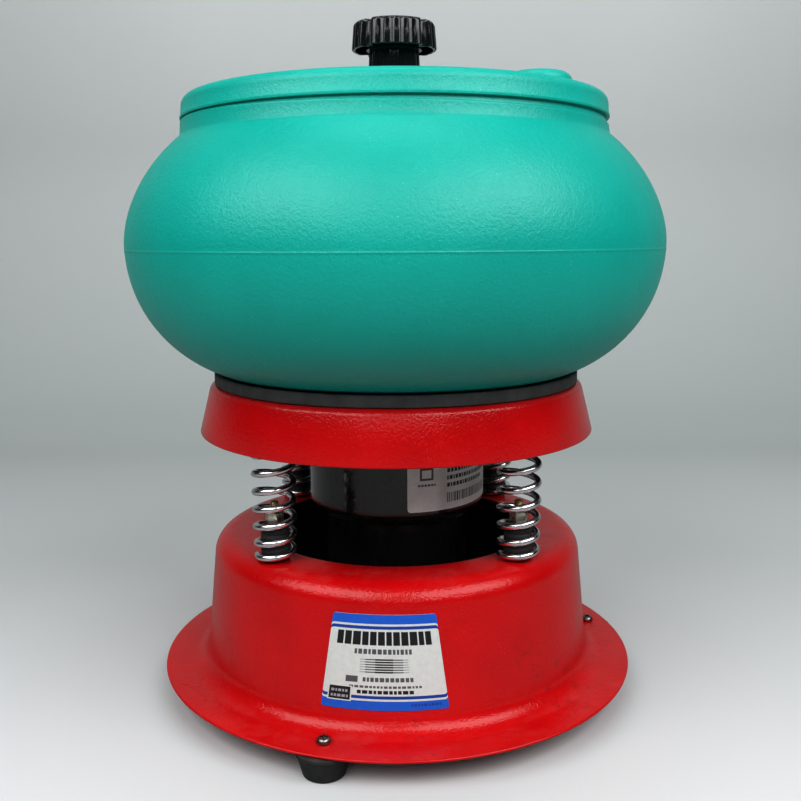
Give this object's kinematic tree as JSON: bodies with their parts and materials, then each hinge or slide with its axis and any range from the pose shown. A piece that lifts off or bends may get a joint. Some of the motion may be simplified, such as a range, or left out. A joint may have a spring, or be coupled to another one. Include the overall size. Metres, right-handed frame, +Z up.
{
  "type": "vibratory tumbler",
  "caption": "Ring-shaped plastic tub with a clamped lid on a steel pan, carried by coil springs over a flanged base, with a motor that shakes it by eccentric weights.",
  "frame": {"origin": "on the floor under the middle of the object", "axes": "+Z up, -Y towards the front, where the base label is, +X to its right"},
  "size_m": [0.306, 0.306, 0.385],
  "materials": {
    "red_paint": "gloss red enamel with a fine orange-peel texture",
    "tub_plastic": "satin blue-green polyethylene with a fine pebbled texture",
    "black_plastic": "glossy black moulded plastic",
    "dark_rubber": "matt dark grey rubber",
    "spring_steel": "bright plated round wire",
    "zinc_steel": "zinc plated, slightly yellowed",
    "bearing_steel": "ground steel",
    "black_paint": "gloss black enamel on sheet steel",
    "cast_iron": "as cast",
    "laminations": "stacked electrical steel",
    "brass": "turned brass",
    "white_label": "white film label with blue bands",
    "silver_label": "silver film label"
  },
  "bodies": {
    "base": {"base_housing": "red_paint", "cord_gland": "black_plastic", "base_label": "white_label", "foot_1": "dark_rubber", "foot_2": "dark_rubber", "foot_3": "dark_rubber", "foot_screw_1": "zinc_steel", "foot_screw_2": "zinc_steel", "foot_screw_3": "zinc_steel", "foot_nut_1": "zinc_steel", "foot_nut_2": "zinc_steel", "foot_nut_3": "zinc_steel", "spring_1": "spring_steel", "spring_2": "spring_steel", "spring_3": "spring_steel", "spring_4": "spring_steel", "lower_spring_post_1": "dark_rubber", "lower_spring_post_2": "dark_rubber", "lower_spring_post_3": "dark_rubber", "lower_spring_post_4": "dark_rubber", "lower_spring_screw_1": "zinc_steel", "lower_spring_screw_2": "zinc_steel", "lower_spring_screw_3": "zinc_steel", "lower_spring_screw_4": "zinc_steel", "lower_spring_nut_1": "zinc_steel", "lower_spring_nut_2": "zinc_steel", "lower_spring_nut_3": "zinc_steel", "lower_spring_nut_4": "zinc_steel"},
    "pan": {"top_pan": "red_paint", "gasket_disc": "dark_rubber", "centre_stud": "zinc_steel", "stud_nut": "zinc_steel", "upper_spring_post_1": "dark_rubber", "upper_spring_post_2": "dark_rubber", "upper_spring_post_3": "dark_rubber", "upper_spring_post_4": "dark_rubber", "upper_spring_nut_1": "zinc_steel", "upper_spring_nut_2": "zinc_steel", "upper_spring_nut_3": "zinc_steel", "upper_spring_nut_4": "zinc_steel", "motor_housing": "black_paint", "motor_end_bell": "black_paint", "motor_stator": "laminations", "upper_bearing": "bearing_steel", "lower_bearing": "bearing_steel", "motor_label": "silver_label", "motor_bolt_1": "zinc_steel", "motor_bolt_2": "zinc_steel", "motor_bolt_3": "zinc_steel"},
    "rotor": {"motor_shaft": "bearing_steel", "rotor_core": "laminations", "upper_weight": "cast_iron", "lower_weight": "cast_iron"},
    "bowl": {"bowl": "tub_plastic", "bowl_nut": "zinc_steel"},
    "lid": {"lid": "tub_plastic", "lid_seal": "dark_rubber"},
    "knob_washer": {"knob_washer": "zinc_steel"},
    "knob": {"knob": "black_plastic", "knob_insert": "brass"}
  },
  "joints": [
    {"name": "pan_bounce", "type": "slide", "parent": "base", "child": "pan", "axis": [0, 0, 1], "range_m": [-0.008, 0.005], "stiffness_N_per_m": 60000, "springref_m": 0.0013, "deforming": ["spring_1", "spring_2", "spring_3", "spring_4"]},
    {"name": "rotor_spin", "type": "hinge", "parent": "pan", "child": "rotor", "pos_m": [0, 0, 0.11], "axis": [0, 0, 1], "continuous": true},
    {"name": "bowl_lift", "type": "slide", "parent": "pan", "child": "bowl", "axis": [0, 0, 1], "range_m": [0, 0.2]},
    {"name": "lid_lift", "type": "slide", "parent": "bowl", "child": "lid", "axis": [0, 0, 1], "range_m": [0, 0.12]},
    {"name": "knob_rise", "type": "slide", "parent": "lid", "child": "knob_washer", "axis": [0, 0, 1], "range_m": [0, 0.0126]},
    {"name": "knob_turn", "type": "hinge", "parent": "knob_washer", "child": "knob", "pos_m": [0, 0, 0.36], "axis": [0, 0, 1], "range_deg": [0, 3600]}
  ],
  "couplings": [
    {"joint": "knob_rise", "follows": "knob_turn", "m_per_rad": 0.00019894}
  ]
}
